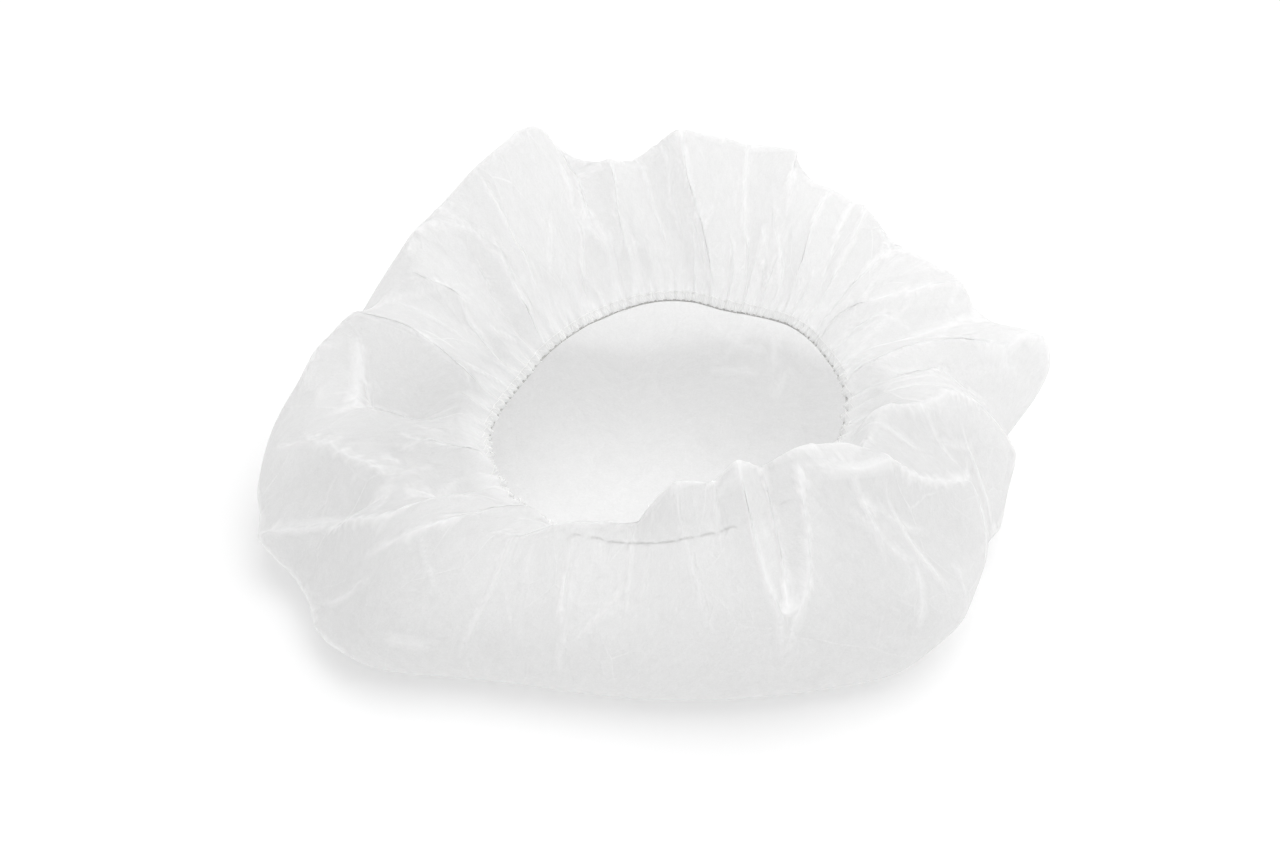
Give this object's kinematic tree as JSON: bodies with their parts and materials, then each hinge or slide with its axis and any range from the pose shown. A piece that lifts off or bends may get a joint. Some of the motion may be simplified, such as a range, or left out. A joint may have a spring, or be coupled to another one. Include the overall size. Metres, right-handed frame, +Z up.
{
  "type": "disposable bouffant cap",
  "caption": "Round puffed head cover of thin translucent white non-woven, lying on its crown with its elasticated, overlocked mouth facing up.",
  "frame": {"origin": "on the table, under the middle of the cap's outline", "axes": "+Z up, out of the mouth; +X to the cap's right, along its longest side; +Y to its higher back"},
  "size_m": [0.3082, 0.2534, 0.1051],
  "materials": {
    "nonwoven": "thin spun-bonded polypropylene, matt and translucent",
    "elastic": "covered rubber thread",
    "sewing_thread": "spun polyester sewing thread"
  },
  "bodies": {
    "root": {"crown_sheet": "nonwoven", "elastic_cord": "elastic", "needle_thread": "sewing_thread", "upper_looper_thread": "sewing_thread", "lower_looper_thread": "sewing_thread"}
  },
  "joints": []
}
